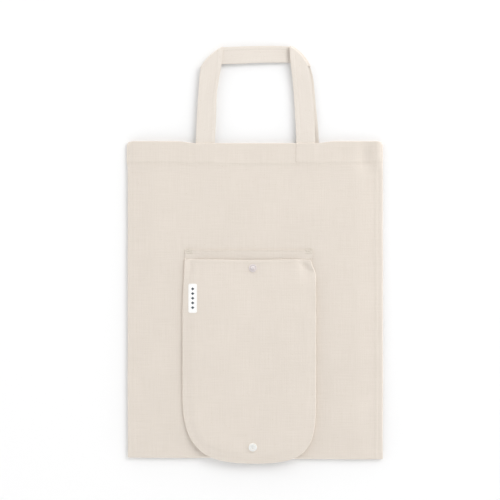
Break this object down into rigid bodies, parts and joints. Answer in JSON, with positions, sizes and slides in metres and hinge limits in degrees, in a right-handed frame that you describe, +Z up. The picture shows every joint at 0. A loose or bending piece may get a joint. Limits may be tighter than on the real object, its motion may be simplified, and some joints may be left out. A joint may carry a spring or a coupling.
{
  "type": "foldable tote bag",
  "caption": "Flat natural cotton tote with two strap handles and a hanging rounded pouch on its front that folds in half and snaps shut.",
  "frame": {"origin": "Middle of the whole outline, handles included, on the surface that the bag lies on.", "axes": "+Y runs from the bottom seam to the handles, +X to the right as seen from the front, +Z up out of the front face, which carries the pouch."},
  "size_m": [0.34, 0.5564, 0.0172],
  "materials": {
    "cotton_canvas": "undyed plain-weave cotton, washed soft, matt",
    "cotton_strap": "undyed cotton tape, folded and pressed flat, matt",
    "cotton_thread": "natural cotton sewing thread",
    "snap_plastic": "moulded white acetal, smooth with a soft gloss",
    "label_tape": "white woven tape with a satin face"
  },
  "bodies": {
    "bag_centre": {"centre_back_panel": "cotton_canvas", "centre_front_panel": "cotton_canvas", "centre_bottom_seam": "cotton_canvas", "centre_back_hem": "cotton_canvas", "back_handle_ends": "cotton_strap", "pouch_sewn_edge": "cotton_canvas", "pouch_seam_thread": "cotton_thread", "pouch_bar_tacks": "cotton_thread"},
    "mouth_front": {"front_panel_upper": "cotton_canvas", "centre_front_hem": "cotton_canvas", "front_handle_ends": "cotton_strap", "centre_hem_thread": "cotton_thread"},
    "left_side": {"left_back_panel": "cotton_canvas", "left_front_panel": "cotton_canvas", "left_bottom_seam": "cotton_canvas", "left_side_seam": "cotton_canvas", "left_back_hem": "cotton_canvas"},
    "left_mouth_corner": {"left_front_corner": "cotton_canvas", "left_front_hem": "cotton_canvas", "left_hem_thread": "cotton_thread"},
    "right_side": {"right_back_panel": "cotton_canvas", "right_front_panel": "cotton_canvas", "right_bottom_seam": "cotton_canvas", "right_side_seam": "cotton_canvas", "right_back_hem": "cotton_canvas"},
    "right_mouth_corner": {"right_front_corner": "cotton_canvas", "right_front_hem": "cotton_canvas", "right_hem_thread": "cotton_thread"},
    "front_handle": {"front_handle_strap": "cotton_strap"},
    "back_handle": {"back_handle_strap": "cotton_strap"},
    "pouch_upper": {"pouch_back_upper": "cotton_canvas", "pouch_front_upper": "cotton_canvas", "pouch_seam_upper": "cotton_canvas", "pouch_mouth_hem": "cotton_canvas", "pouch_mouth_thread": "cotton_thread", "snap_stud": "snap_plastic", "snap_stud_cap": "snap_plastic", "woven_label": "label_tape", "label_thread": "cotton_thread"},
    "pouch_lower": {"pouch_back_lower": "cotton_canvas", "pouch_front_lower": "cotton_canvas", "pouch_seam_lower": "cotton_canvas", "snap_socket": "snap_plastic", "snap_socket_cap": "snap_plastic"}
  },
  "joints": [
    {"name": "mouth_open", "type": "hinge", "parent": "bag_centre", "child": "mouth_front", "pos_m": [-0.007, 0.0282, 0.0072], "axis": [-1, 0, 0], "range_deg": [-6, 0]},
    {"name": "left_side_fold", "type": "hinge", "parent": "bag_centre", "child": "left_side", "pos_m": [-0.106, -0.0608, 0.011], "axis": [0, 1, 0], "range_deg": [0, 178]},
    {"name": "right_side_fold", "type": "hinge", "parent": "bag_centre", "child": "right_side", "pos_m": [0.092, -0.0608, 0.011], "axis": [0, -1, 0], "range_deg": [0, 178]},
    {"name": "left_corner_lift", "type": "hinge", "parent": "left_side", "child": "left_mouth_corner", "pos_m": [-0.106, 0.0282, 0.0072], "axis": [-0.4045, 0.914, -0.0315], "range_deg": [-14.93, 0]},
    {"name": "right_corner_lift", "type": "hinge", "parent": "right_side", "child": "right_mouth_corner", "pos_m": [0.092, 0.0282, 0.0072], "axis": [-0.4866, -0.8731, 0.0301], "range_deg": [-12.43, 0]},
    {"name": "front_handle_swing", "type": "hinge", "parent": "mouth_front", "child": "front_handle", "pos_m": [0.0009, 0.1507, 0.0076], "axis": [1, 0, 0], "range_deg": [0, 180]},
    {"name": "back_handle_swing", "type": "hinge", "parent": "bag_centre", "child": "back_handle", "pos_m": [0.0024, 0.1507, -0.0004], "axis": [1, 0, 0], "range_deg": [-180, 0]},
    {"name": "pouch_lift", "type": "hinge", "parent": "bag_centre", "child": "pouch_upper", "pos_m": [-0.0067, 0.0028, 0.0081], "axis": [1, 0, 0], "range_deg": [-88, 0]},
    {"name": "pouch_fold", "type": "hinge", "parent": "pouch_upper", "child": "pouch_lower", "pos_m": [-0.00735, -0.1374, 0.01595], "axis": [1, 0, 0], "range_deg": [-180, 0]}
  ],
  "couplings": [
    {"joint": "left_corner_lift", "follows": "mouth_open", "ratio": 2.4719},
    {"joint": "right_corner_lift", "follows": "mouth_open", "ratio": 2.0549}
  ]
}
